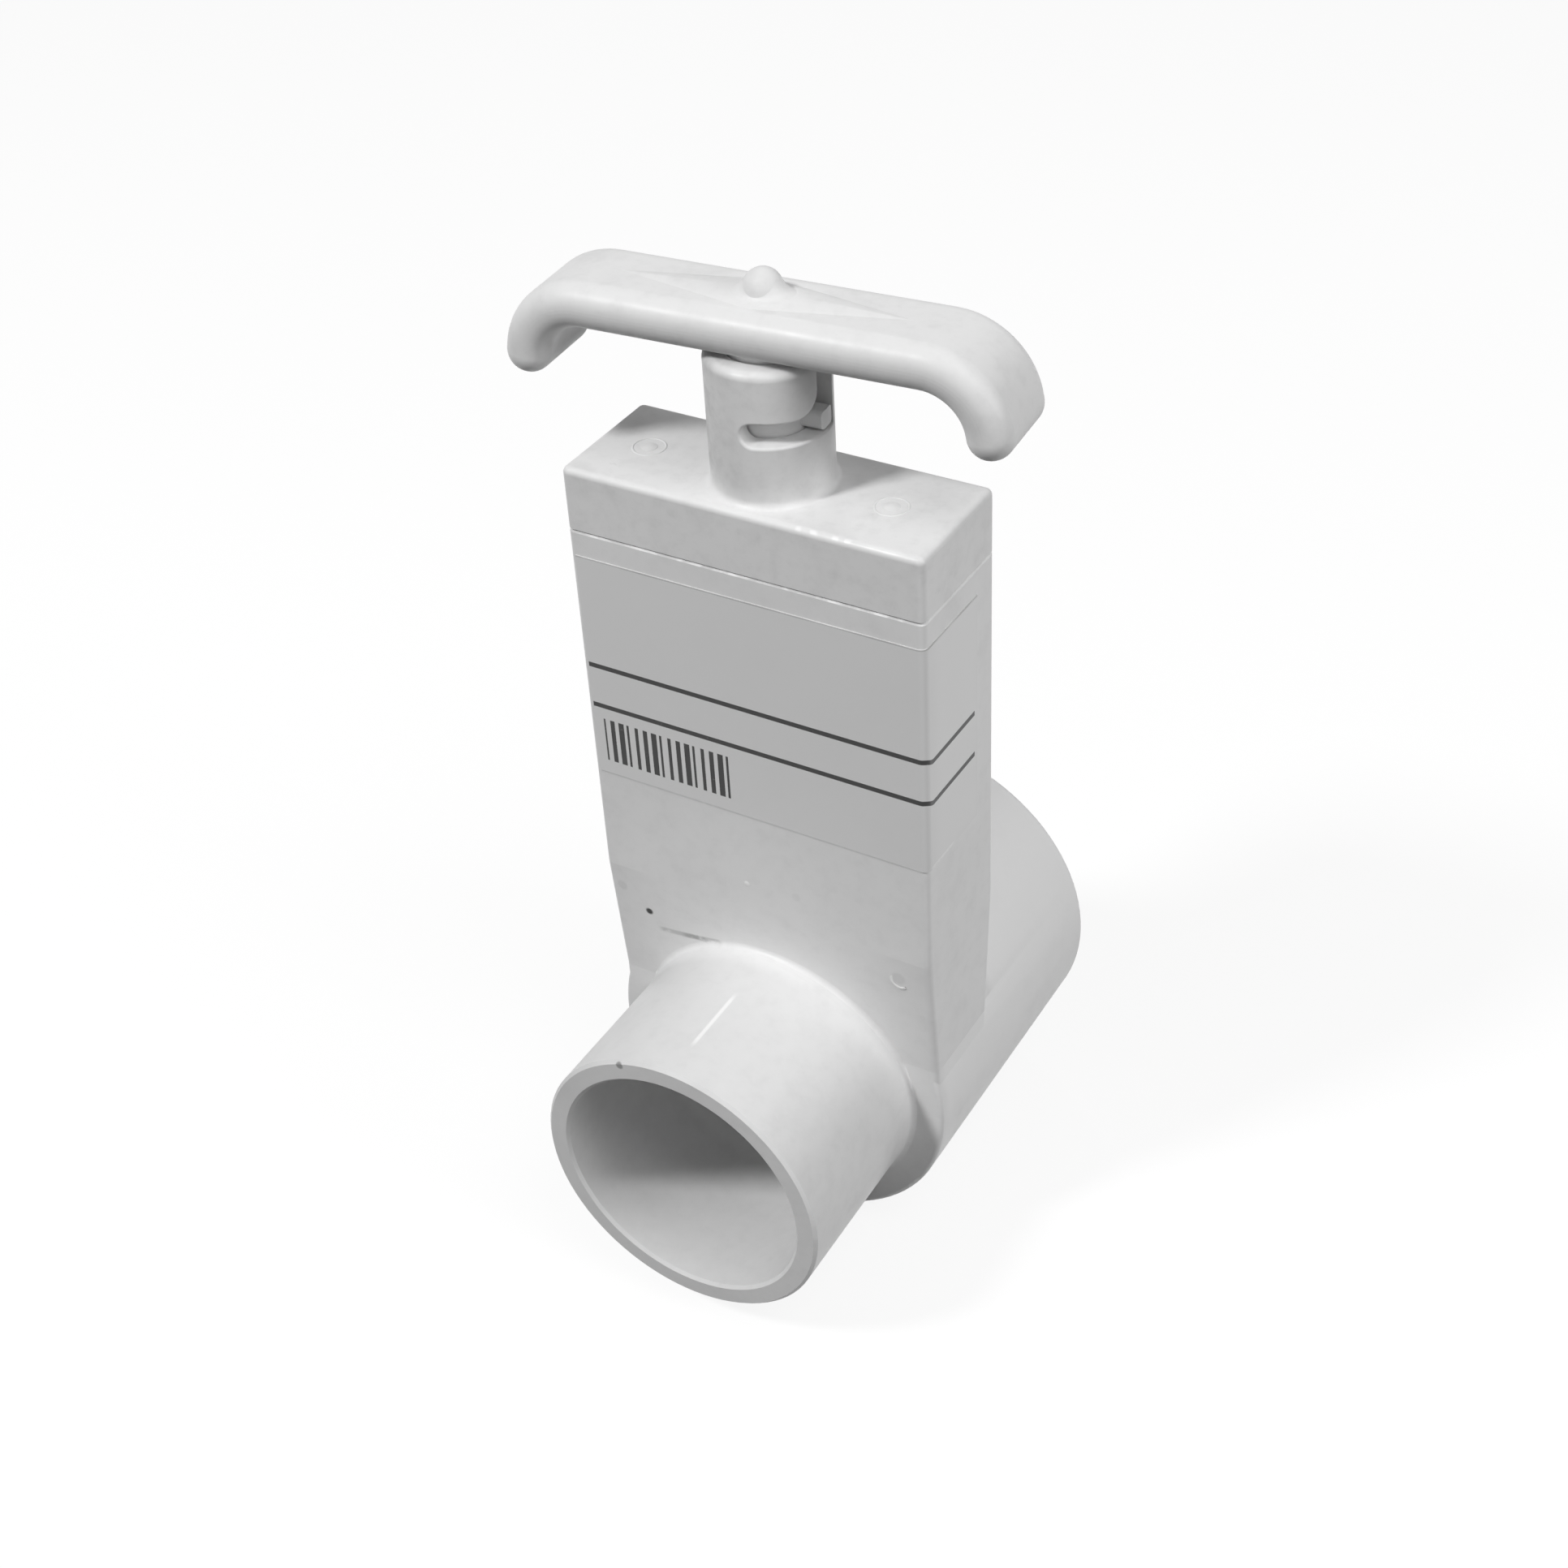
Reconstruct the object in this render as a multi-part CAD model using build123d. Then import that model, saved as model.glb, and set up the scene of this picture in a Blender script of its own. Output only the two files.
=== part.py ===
from build123d import *
import math
import os

# Slide valve for plastic pipe: a one-piece moulded body with a spigot at one end and a
# socket at the other, a flat gate that a T-handle pulls up out of the waterway, and a
# bonnet whose collar has two J-shaped slots that lock the stem when it is turned.
# Millimetres. Y is the flow axis, Z is the stem axis, and the origin is where they cross.
# The spigot points to -Y, the socket to +Y, the handle to +Z. Heights are above the flow
# axis, and the valve is closed and unlocked.

# Pipe ends
pipe_od = 48.26            # outside diameter of 1-1/2 inch plastic pipe
spigot_wall = 3.73
spigot_end = 39.3          # gate's middle plane to the end of the spigot
socket_end = 43.7          # gate's middle plane to the mouth of the socket
socket_depth = 31.75       # how far the pipe goes in
socket_clearance = 0.1     # room for cement, on the radius
socket_wall = 5.3          # the round bottom of the body is as large outside
mouth_bevel = 0.5          # bevels at the end of the spigot
socket_lead_in = 0.9       # bevel inside the socket's mouth

# Port seals, in grooves round the waterway on both sides of the gate
seal_margin = 0.6          # waterway's edge to the seal's inner edge
seal_width = 2.6
seal_depth = 2.2
seal_lip_round = 0.5
seal_gap = 0.3             # between seal and gate
seal_seat_play = 0.05      # round the seal in its groove

# Gate
gate_thickness = 7.0
gate_clearance = 0.4       # each side of the gate
gate_rim = 1.0             # gate's edge beyond the seals
gate_neck_height = 8.6     # waterway's edge to the end of the straight sides
gate_shoulder_rise = 5.0   # sloping shoulders up to the eye
gate_bevel = 0.6
gate_overtravel = 1.0      # gate's lowest edge above the waterway when open
eye_depth = 11.0           # block on top of the gate that holds the stem's foot
eye_cheek = 4.0            # each side of its window
eye_roof = 3.5             # above the window
eye_floor = 1.4            # below the window
eye_round = 2.0

# Foot of the stem, which turns in the gate's eye
neck_d = 6.0
neck_play = 0.3
foot_reach = 1.2           # foot beyond the clip
foot_gap = 1.25            # foot to the window's floor
foot_bevel = 0.5
washer_rim = 2.2           # washer beyond the neck
washer_thickness = 1.0
clip_rim = 1.6             # clip beyond the neck
clip_bite = 0.5            # depth of the clip's groove
clip_thickness = 0.8
clip_pinch = 0.6           # clip's mouth is this much less than its groove
clip_play = 0.05

# Body
side_wall = 3.7
front_wall = 4.0
saddle_wall = 4.7          # beside the narrow part of the chamber
saddle_height = 10.0       # the body widens from here
shoulder_height = 33.0     # to its full depth here
corner_round = 1.1         # upright corners of body and bonnet
joint_bevel = 0.4          # body's top edge, where the bonnet is cemented on
root_round = 0.8           # where the spigot grows out of the body
root_draft = 2.5           # degrees that the spigot's root widens by, towards the body
root_margin = 0.1          # spigot's straight wall to the rounded corner at its root
edge_round = 0.7           # edges of the round bottom and of the socket's mouth
eye_clearance = 1.1        # gate's eye to the chamber's front and back
flare_drop = 2.5           # chamber has its full depth this far below the gate's eye
flare_height = 5.5
guide_rib_width = 1.8
guide_rib_reach = 2.2
guide_rib_gap = 1.0        # ribs end this far below the bonnet's lip

# Stem
stem_d = 11.1
stem_clearance = 0.3       # running gap round the stem
lug_width = 3.2
lug_inset = 0.15           # ends of the locking lugs inside the collar's outside
lug_round = 0.7
drive_square = 6.4         # square end of the stem, inside the handle
drive_height = 2.9
drive_play = 0.05

# Gland in the bonnet, from below: retainer, ring, spacer, ring
oring_section = 2.3
oring_gap = 0.25           # between ring and stem
gland_play = 0.05
gland_retainer_thickness = 2.2
gland_spacer_thickness = 1.4
gland_web = 1.6            # bonnet above the gland

# Bonnet
stop_gap = 0.65            # open gate's eye to the bonnet's lip
lip_length = 4.0           # tongue that is cemented into the body's mouth
lip_wall = 2.2
lip_play = 0.1
bonnet_edge_round = 1.0
bonnet_joint_bevel = 0.15  # bonnet's lower edge
collar_wall = 2.9
collar_rim_round = 1.2
collar_root_round = 0.6
slot_base = 9.25           # bonnet's top to the lower edge of the locking slots
slot_height = 3.4
slot_lip_round = 0.4
tongue_height = 7.5        # collar above the slots
tongue_round = 3.6         # lower corner of the tongue beside each entry
lug_play = 0.4             # each side of a lug in its upright entry
lug_lift = 0.375           # above and below a lug in its slot
entry_angle = 4.0          # degrees from +X to the entry, as the handle stands
lock_turn = 76.0           # degrees that the lugs turn to lock
slot_end_play = 3.0        # degrees left beyond the locked lug

# Handle
handle_gap = 0.7           # collar's rim to the bar
bar_flat = 49.6            # straight middle of the bar
bar_width = 15.8
bar_thickness = 6.6
bar_bend_radius = 9.5      # to the bar's middle line
bar_bend_angle = 80.0
bar_tip = 0.5              # straight beyond the bend
bar_round = 3.1            # all its long edges
crown_reach = 21.5         # raised diamond on the bar's top, from the middle to each point
crown_half_width = 4.6
crown_rise = 0.7
crown_root = 0.5           # how far it is sunk into the bar
handle_web = 1.9           # between the stem's square and the screw's recess
screw_d = 2.9
screw_length = 15.0
screw_head_d = 4.6
screw_head_height = 1.4
screw_cross = 0.7          # width of the cross recess
screw_play = 0.05
pilot_extra = 1.0          # screw's hole beyond its tip
recess_play = 0.2          # round the screw's head
plug_overlap = 0.3         # dome beyond the recess
plug_rim = 0.3             # straight side below the dome

# Label
label_inset = 1.0          # left edge in from the body's side
label_drop = 4.15          # below the joint of body and bonnet
label_height = 38.5
label_wrap = 5.0           # how far it goes round the right side, from the gate's plane
label_margin = 1.0         # cutting box for the film stands this far clear of the body
film_thickness = 0.12

# Modelling
pick_margin = 0.01         # edges are picked by their place to within this

# Pipe ends, seals and gate
pipe_r = pipe_od / 2
waterway_r = pipe_r - spigot_wall
socket_r = pipe_r + socket_clearance
socket_stop = socket_end - socket_depth
round_bottom_r = socket_r + socket_wall
seal_in_r = waterway_r + seal_margin
seal_out_r = seal_in_r + seal_width
seal_face = gate_thickness / 2 + seal_gap
groove_floor = seal_face + seal_depth + seal_seat_play
gate_r = seal_out_r + gate_rim
gate_shoulder = waterway_r + gate_neck_height
gate_top = gate_shoulder + gate_shoulder_rise
gate_travel = waterway_r + gate_r + gate_overtravel

# Stem's foot in the gate's eye, from the top down
neck_r = neck_d / 2
washer_d = neck_d + 2 * washer_rim
clip_d = neck_d + 2 * clip_rim
clip_groove_d = neck_d - 2 * clip_bite
foot_height = washer_thickness + clip_play + clip_thickness + foot_reach
window_width = washer_d + 2 * neck_play
window_bottom = gate_top + eye_floor
window_top = window_bottom + foot_gap + foot_height + neck_play
eye_width = window_width + 2 * eye_cheek
eye_top = window_top + eye_roof
stem_shoulder = eye_top + neck_play
washer_bottom = window_top - neck_play - washer_thickness
clip_bottom = washer_bottom - clip_play - clip_thickness
foot_bottom = clip_bottom - foot_reach

# Body and chamber
gate_slot = gate_thickness / 2 + gate_clearance
chamber_r = gate_r + gate_clearance
half_chamber = eye_depth / 2 + eye_clearance
half_width = chamber_r + side_wall
half_depth = half_chamber + front_wall
half_saddle = gate_slot + saddle_wall
root_start = half_depth + root_round + root_margin
flare_top = gate_top - flare_drop
flare_bottom = flare_top - flare_height
body_top = eye_top + gate_travel + stop_gap + lip_length

# Bonnet, gland and collar
stem_r = stem_d / 2
guide_r = stem_r + stem_clearance
oring_mid_r = stem_r + oring_gap + oring_section / 2
gland_r = stem_r + oring_gap + oring_section + gland_play
lower_oring_z = body_top + gland_retainer_thickness + gland_play + oring_section / 2
spacer_bottom = lower_oring_z + oring_section / 2 + gland_play
upper_oring_z = spacer_bottom + gland_spacer_thickness + gland_play + oring_section / 2
gland_top = upper_oring_z + oring_section / 2 + gland_play
bonnet_top = gland_top + gland_web
collar_r = guide_r + collar_wall
slot_floor = bonnet_top + slot_base
slot_top = slot_floor + slot_height
collar_top = slot_top + tongue_height
entry_width = lug_width + 2 * lug_play
lug_r = collar_r - lug_inset
lug_bottom = slot_floor + lug_lift
lug_height = slot_height - 2 * lug_lift

# Handle and label
bar_bottom = collar_top + handle_gap
bar_top = bar_bottom + bar_thickness
crown_top = bar_top + crown_rise
drive_top = bar_bottom + drive_height
recess_r = screw_head_d / 2 + recess_play
recess_floor = drive_top + handle_web
screw_r = screw_d / 2
screw_tip = recess_floor - screw_length
plug_bottom = recess_floor + screw_head_height + recess_play
dome_r = recess_r + plug_overlap
label_top = body_top - label_drop
label_bottom = label_top - label_height
big = 4 * body_top


def ring(outer_r, inner_r, bottom, height):
    """Flat ring round the stem axis."""
    face = Circle(outer_r) - Circle(inner_r)
    return extrude(Pos(0, 0, bottom) * face, height)


def tube_y(radius, start, end):
    """Round bar along the flow axis, from one Y to another."""
    return extrude(Plane.XZ.offset(-start) * Circle(radius), start - end)


def gate_outline(radius, top):
    """Straight sides up to a height, with a half-round bottom on the flow axis."""
    block = Pos(0, top / 2) * Rectangle(2 * radius, top)
    return Plane.XZ * (block + Circle(radius))


def upright_edges(solid, x, at_least):
    """Edges on a side plane that run mostly upwards."""
    found = solid.edges().filter_by(lambda e: abs(abs(e.center().X) - x) < pick_margin)
    return found.filter_by(lambda e: abs((e @ 1 - e @ 0).Z) > at_least)


def outer_edges(solid, radius, height):
    """Edges that run round the stem axis on a given radius and height."""

    def is_outer(edge):
        middle = edge @ 0.5
        off_radius = abs(Vector(middle.X, middle.Y).length - radius)
        return max(off_radius, abs(middle.Z - height)) < pick_margin

    return solid.edges().filter_by(is_outer)


def body_footprint(grow=0.0):
    """Plan of body and bonnet, with rounded corners."""
    return RectangleRounded(2 * (half_width + grow), 2 * (half_depth + grow), corner_round + grow)


# Valve body
def chamber():
    """Space for the gate: narrow beside the ports, wider above them."""
    section = Polyline(
        (-gate_slot, -half_width), (-gate_slot, flare_bottom), (-half_chamber, flare_top),
        (-half_chamber, body_top), (half_chamber, body_top), (half_chamber, flare_top),
        (gate_slot, flare_bottom), (gate_slot, -half_width), close=True)
    slab = extrude(Plane.YZ * make_face(section), half_width, both=True)
    return slab & extrude(gate_outline(chamber_r, body_top), half_depth, both=True)


def guide_ribs():
    """Pairs of ribs on the side walls that keep the open gate upright."""
    length = body_top - lip_length - guide_rib_gap - flare_top
    reach = guide_rib_reach + side_wall / 2
    rib = Box(reach, guide_rib_width, length)
    x = chamber_r - guide_rib_reach + reach / 2
    y = gate_slot + guide_rib_width / 2
    z = flare_top + length / 2
    return [Pos(sx * x, sy * y, z) * rib for sx in (-1, 1) for sy in (-1, 1)]


def spigot():
    """Solid bar of the spigot, bevelled at its end and slightly wider at its root."""
    root_r = pipe_r + root_start * math.tan(math.radians(root_draft))
    outline = Polyline(
        (0, -spigot_end), (pipe_r - mouth_bevel, -spigot_end), (pipe_r, mouth_bevel - spigot_end),
        (pipe_r, -root_start), (root_r, 0), (0, 0), close=True)
    return revolve(make_face(outline), Axis.Y)


def spigot_root(body):
    """Edges where the spigot meets the front of the body."""

    def is_root(edge):
        middle = edge @ 0.5
        off_wall = Vector(middle.X, middle.Z).length - pipe_r
        return 0 < off_wall < root_round and -root_start < middle.Y < 0

    return body.edges().filter_by(is_root)


def valve_body():
    side = Polyline(
        (-half_saddle, 0), (-half_saddle, saddle_height), (-half_depth, shoulder_height),
        (-half_depth, body_top), (half_depth, body_top), (half_depth, shoulder_height),
        (half_saddle, saddle_height), (half_saddle, 0), close=True)
    housing = extrude(Plane.YZ * make_face(side), half_width, both=True)
    housing = fillet(upright_edges(housing, half_width, corner_round), corner_round)
    housing = chamfer(housing.edges().group_by(Axis.Z)[-1], joint_bevel)
    round_bottom = tube_y(round_bottom_r, -half_saddle, socket_end)
    round_bottom = fillet(round_bottom.edges().filter_by(GeomType.CIRCLE), edge_round)
    body = housing + round_bottom + spigot()
    body = fillet(spigot_root(body), root_round)
    body -= chamber()
    body += guide_ribs()
    body -= tube_y(waterway_r, -spigot_end, socket_end)
    body -= tube_y(socket_r, socket_stop, socket_end)
    body -= tube_y(seal_out_r + seal_seat_play, -groove_floor, groove_floor)
    inner_rim = body.edges().filter_by(GeomType.CIRCLE).group_by(Axis.Y)[0].sort_by(SortBy.RADIUS)[0]
    body = chamfer(inner_rim, mouth_bevel)
    mouth = body.edges().filter_by(GeomType.CIRCLE).group_by(Axis.Y)[-1].sort_by(SortBy.RADIUS)[0]
    return chamfer(mouth, socket_lead_in)


def port_seal(side):
    """Rubber ring in the groove round one port; side is -1 for the spigot's port."""
    near, far = side * seal_face, side * (seal_face + seal_depth)
    start, end = min(near, far), max(near, far)
    seal = tube_y(seal_out_r, start, end) - tube_y(seal_in_r, start, end)
    face_edges = seal.edges().filter_by(lambda e: abs(e.center().Y - near) < pick_margin)
    return fillet(face_edges, seal_lip_round)


# Gate
def gate_blade():
    outline = Polyline(
        (-gate_r, 0), (-gate_r, gate_shoulder), (-eye_width / 2, gate_top),
        (eye_width / 2, gate_top), (gate_r, gate_shoulder), (gate_r, 0), close=True)
    plan = Plane.XZ * (make_face(outline) + Circle(gate_r))
    blade = extrude(plan, gate_thickness / 2, both=True)
    rims = blade.edges().filter_by(lambda e: abs(abs(e.center().Y) - gate_thickness / 2) < pick_margin)
    blade = chamfer(rims.filter_by(lambda e: e.center().Z < gate_top - pick_margin), gate_bevel)
    eye_height = eye_top - gate_top
    eye = Pos(0, 0, gate_top + eye_height / 2) * Box(eye_width, eye_depth, eye_height)
    eye = fillet(eye.edges().filter_by(Axis.Z), eye_round)
    window_height = window_top - window_bottom
    window = Pos(0, 0, window_bottom + window_height / 2) * Box(window_width, big, window_height)
    hole = Pos(0, 0, eye_top) * Cylinder(neck_r + neck_play, 4 * eye_roof)
    return blade + eye - window - hole


# Stem and its foot
def stem():
    shank = Pos(0, 0, stem_shoulder) * extrude(Circle(stem_r), bar_bottom - stem_shoulder)
    neck = extrude(Pos(0, 0, foot_bottom) * Circle(neck_r), stem_shoulder - foot_bottom)
    neck = chamfer(neck.edges().group_by(Axis.Z)[0], foot_bevel)
    neck -= ring(stem_r, clip_groove_d / 2, clip_bottom - clip_play, clip_thickness + 2 * clip_play)
    drive = extrude(Pos(0, 0, bar_bottom) * Rectangle(drive_square, drive_square), drive_height)
    key = Pos(0, 0, lug_bottom + lug_height / 2) * Box(3 * lug_r, lug_width, lug_height)
    key = fillet(key.edges().filter_by(Axis.X), lug_round)
    key &= extrude(Pos(0, 0, lug_bottom) * Circle(lug_r), lug_height)
    shaft = shank + neck + Rot(0, 0, entry_angle) * (drive + key)
    pilot_depth = screw_length - handle_web + pilot_extra
    return shaft - extrude(Pos(0, 0, drive_top - pilot_depth) * Circle(screw_r + screw_play), pilot_depth)


def stem_washer():
    return ring(washer_d / 2, neck_r + clip_play, washer_bottom, washer_thickness)


def stem_clip():
    """Open ring that snaps into the groove of the stem's foot."""
    disc = ring(clip_d / 2, clip_groove_d / 2 + clip_play, clip_bottom, clip_thickness)
    mouth = Box(clip_groove_d - clip_pinch, clip_d, 4 * clip_thickness)
    return disc - Pos(0, clip_d / 2, clip_bottom) * mouth


# Bonnet
def slot_cutter():
    """Both J-slots: upright entries, then level runs that end round."""
    entry_height = collar_top - slot_floor
    cutter = Pos(0, 0, slot_floor + entry_height / 2) * Box(3 * collar_r, entry_width, entry_height)
    run = lock_turn + slot_end_play
    middle = slot_floor + slot_height / 2
    section = Plane.XZ * Pos(collar_r, middle) * Rectangle(collar_r, slot_height)
    level = Rot(0, 0, -run) * revolve(section, Axis.Z, run)
    round_end = Rot(0, 0, -run) * (Plane.YZ.offset(collar_r / 2) * Pos(0, middle) * Circle(slot_height / 2))
    level += extrude(round_end, collar_r)
    cutter += [Rot(0, 0, turn) * level for turn in (0, 180)]
    return Rot(0, 0, entry_angle) * cutter


def tongue_corners(cap):
    """Lower corners of the two tongues, at the entries."""
    back = Rot(0, 0, -entry_angle)

    def is_corner(edge):
        start, end = edge @ 0, edge @ 1
        level = max(abs(start.Z - slot_top), abs(end.Z - slot_top)) < pick_margin
        middle = (back * Pos(edge.center())).position
        return level and abs(abs(middle.Y) - entry_width / 2) < pick_margin

    return cap.edges().filter_by(is_corner)


def bonnet_cap():
    plate = extrude(Pos(0, 0, body_top) * body_footprint(), bonnet_top - body_top)
    plate = fillet(plate.edges().group_by(Axis.Z)[-1], bonnet_edge_round)
    plate = chamfer(plate.edges().group_by(Axis.Z)[0], bonnet_joint_bevel)
    collar = extrude(Pos(0, 0, gland_top) * Circle(collar_r), collar_top - gland_top)
    collar = fillet(collar.edges().group_by(Axis.Z)[-1], collar_rim_round)
    cap = plate + collar
    cap = fillet(outer_edges(cap, collar_r, bonnet_top), collar_root_round)
    lip_width = 2 * (chamber_r - lip_play)
    lip_depth = 2 * (half_chamber - lip_play)
    lip = Rectangle(lip_width, lip_depth) - Rectangle(lip_width - 2 * lip_wall, lip_depth - 2 * lip_wall)
    cap += extrude(Pos(0, 0, body_top - lip_length) * lip, lip_length)
    cap -= extrude(Pos(0, 0, body_top - lip_length) * Circle(gland_r), gland_top - body_top + lip_length)
    cap -= extrude(Pos(0, 0, gland_top) * Circle(guide_r), big)
    cap -= slot_cutter()
    cap = fillet(tongue_corners(cap), tongue_round)
    return fillet(outer_edges(cap, collar_r, slot_floor), slot_lip_round)


# Gland
def stem_oring(height):
    section = Plane.XZ * Pos(oring_mid_r, height) * Circle(oring_section / 2)
    return revolve(section, Axis.Z)


def gland_spacer():
    return ring(gland_r - gland_play, guide_r, spacer_bottom, gland_spacer_thickness)


def gland_retainer():
    return ring(gland_r - gland_play, guide_r, body_top, gland_retainer_thickness)


# Handle
def bar_line():
    """Middle line of the handle's bar, from tip to tip."""
    half = bar_flat / 2
    bend = JernArc((half, 0), (1, 0), bar_bend_radius, -bar_bend_angle)
    tip = Line(bend @ 1, (bend @ 1) + bar_tip * (bend % 1))
    right = [bend.edge(), tip.edge()]
    left = [part.mirror(Plane.YZ) for part in right]
    return Wire([Line((-half, 0), (half, 0)).edge()] + right + left)


def crown():
    """Raised diamond on the bar's top that runs up to the round plug."""
    diamond = make_face(Polyline(
        (-crown_reach, 0), (0, -crown_half_width), (crown_reach, 0), (0, crown_half_width), close=True))
    root = extrude(Pos(0, 0, bar_top - crown_root) * diamond, crown_root)
    return root + loft([Pos(0, 0, bar_top) * diamond, Pos(0, 0, crown_top) * Circle(dome_r)])


def handle():
    outline = bar_line().offset_2d(bar_thickness / 2, kind=Kind.ARC, side=Side.BOTH)
    middle = Pos(0, bar_top - bar_thickness / 2)
    bar = extrude(Plane.XZ * middle * make_face(outline), bar_width / 2, both=True)
    rims = bar.edges().filter_by(lambda e: abs(abs(e.center().Y) - bar_width / 2) < pick_margin)
    bar = fillet(rims, bar_round) + crown()
    side = drive_square + 2 * drive_play
    socket = extrude(Pos(0, 0, bar_bottom) * Rectangle(side, side), drive_height + drive_play)
    bar -= socket
    bar -= extrude(Pos(0, 0, recess_floor) * Circle(recess_r), bar_thickness)
    bar -= extrude(Pos(0, 0, bar_bottom) * Circle(screw_r + screw_play), bar_thickness)
    return Rot(0, 0, entry_angle) * bar


def handle_screw():
    head = extrude(Pos(0, 0, recess_floor) * Circle(screw_head_d / 2), screw_head_height)
    head = fillet(head.edges().group_by(Axis.Z)[-1], screw_head_height / 3)
    cut = Box(screw_head_d - 2 * screw_cross, screw_cross, screw_head_height)
    for turn in (0, 90):
        head -= Pos(0, 0, recess_floor + screw_head_height) * Rot(0, 0, turn) * cut
    shank = extrude(Pos(0, 0, screw_tip) * Circle(screw_r), screw_length)
    return head + chamfer(shank.edges().group_by(Axis.Z)[0], screw_r / 2)


def handle_plug():
    stub_r = recess_r - screw_play
    dome_bottom = crown_top + plug_rim
    outline = [
        Line((0, plug_bottom), (stub_r, plug_bottom)),
        Line((stub_r, plug_bottom), (stub_r, crown_top)),
        Line((stub_r, crown_top), (dome_r, crown_top)),
        Line((dome_r, crown_top), (dome_r, dome_bottom)),
        CenterArc((0, dome_bottom), dome_r, 0, 90),
        Line((0, dome_bottom + dome_r), (0, plug_bottom))]
    return revolve(Plane.XZ * make_face(outline), Axis.Z)


# Label
def label_film():
    """Film on the front that goes round the right corner of the body."""
    outline = body_footprint(film_thickness) - body_footprint()
    skin = extrude(Pos(0, 0, label_bottom) * outline, label_height)
    left, right = label_inset - half_width, half_width + label_margin
    front = Pos((left + right) / 2, -half_depth, label_bottom) * Box(right - left, half_depth, big)
    wrap_depth = half_depth + label_wrap
    wrap = Pos(half_width, label_wrap - wrap_depth / 2, label_bottom) * Box(side_wall, wrap_depth, big)
    return skin & (front + wrap)


nodes = {
    "valve_body": valve_body(),
    "bonnet_cap": bonnet_cap(),
    "gate_blade": gate_blade(),
    "front_port_seal": port_seal(-1),
    "rear_port_seal": port_seal(1),
    "stem": stem(),
    "stem_washer": stem_washer(),
    "stem_clip": stem_clip(),
    "lower_stem_oring": stem_oring(lower_oring_z),
    "upper_stem_oring": stem_oring(upper_oring_z),
    "gland_spacer": gland_spacer(),
    "gland_retainer": gland_retainer(),
    "handle": handle(),
    "handle_screw": handle_screw(),
    "handle_plug": handle_plug(),
    "label_film": label_film(),
}

os.makedirs("parts", exist_ok=True)
for name, shape in nodes.items():
    export_step(shape, f"parts/{name}.step")
print("gate travel", round(gate_travel, 2))
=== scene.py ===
"""Finishes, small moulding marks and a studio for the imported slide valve."""

import math

import bpy
from bpy.props import FloatProperty, FloatVectorProperty, PointerProperty
from mathutils import Matrix, Vector


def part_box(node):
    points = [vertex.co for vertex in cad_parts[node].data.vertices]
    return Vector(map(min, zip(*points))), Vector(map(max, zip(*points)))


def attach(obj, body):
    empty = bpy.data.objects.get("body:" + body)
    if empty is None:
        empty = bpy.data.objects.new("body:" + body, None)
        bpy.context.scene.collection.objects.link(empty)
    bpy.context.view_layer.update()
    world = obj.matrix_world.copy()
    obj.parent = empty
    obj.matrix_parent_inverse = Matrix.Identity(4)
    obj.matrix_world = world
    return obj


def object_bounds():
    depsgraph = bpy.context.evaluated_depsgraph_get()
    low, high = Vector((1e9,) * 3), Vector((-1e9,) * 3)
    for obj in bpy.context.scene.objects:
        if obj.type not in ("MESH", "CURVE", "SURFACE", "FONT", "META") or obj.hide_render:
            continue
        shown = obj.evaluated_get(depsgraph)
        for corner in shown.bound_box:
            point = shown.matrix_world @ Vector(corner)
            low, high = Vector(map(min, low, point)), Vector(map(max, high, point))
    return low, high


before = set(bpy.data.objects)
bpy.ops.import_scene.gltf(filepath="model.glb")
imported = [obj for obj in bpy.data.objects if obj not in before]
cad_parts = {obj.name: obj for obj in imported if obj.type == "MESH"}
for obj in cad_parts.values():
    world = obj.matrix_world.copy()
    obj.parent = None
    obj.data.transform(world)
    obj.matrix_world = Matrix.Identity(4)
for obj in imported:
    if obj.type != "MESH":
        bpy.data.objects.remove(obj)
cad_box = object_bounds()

bl_info = {
    "name": "Slide valve finishes",
    "version": (1, 0, 0),
    "blender": (4, 5, 0),
    "location": "View3D > Sidebar > Slide valve",
    "description": "Finishes, small moulding marks and studio for the packed slide valve",
    "category": "Material",
}

MM = 0.001

label_low, label_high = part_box("label_film")
film_thickness = 0.12 * MM
front_y = label_low.y + film_thickness    # the body's flat front
joint_z = 94.15 * MM                  # where the cap sits on the body
shoulder_z = 33 * MM                  # from here down the body's front and back taper in
saddle_z = 10 * MM                    # their taper ends here, over the round bottom
taper = 2.0 * MM                      # how far each of them comes in
cap_top = 104.15 * MM                 # the flat top round the collar
collar_r = 8.75 * MM
crown_z = 132.3 * MM                  # the bar's top under the plug
dome_r = 2.8 * MM
dome_z = crown_z + 0.3 * MM           # the middle of the plug's round dome
handle_turn = math.radians(4)         # how the handle stands at rest
bump_spot = (-2.5 * MM, front_y, 38.0 * MM)    # a small bump on the body's front, with a faint speck

camera_turn = 32.22                   # degrees to the right of the front
camera_height = 37.17                 # degrees above level
camera_roll = -3.48                   # degrees
camera_place = Vector((154.12, -246.79, 271.46)) * MM
aim = Vector((0, 0, 60 * MM))         # the lamps face this point, near the valve's middle
lamp_distance = 1.2


# Shader building


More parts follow.
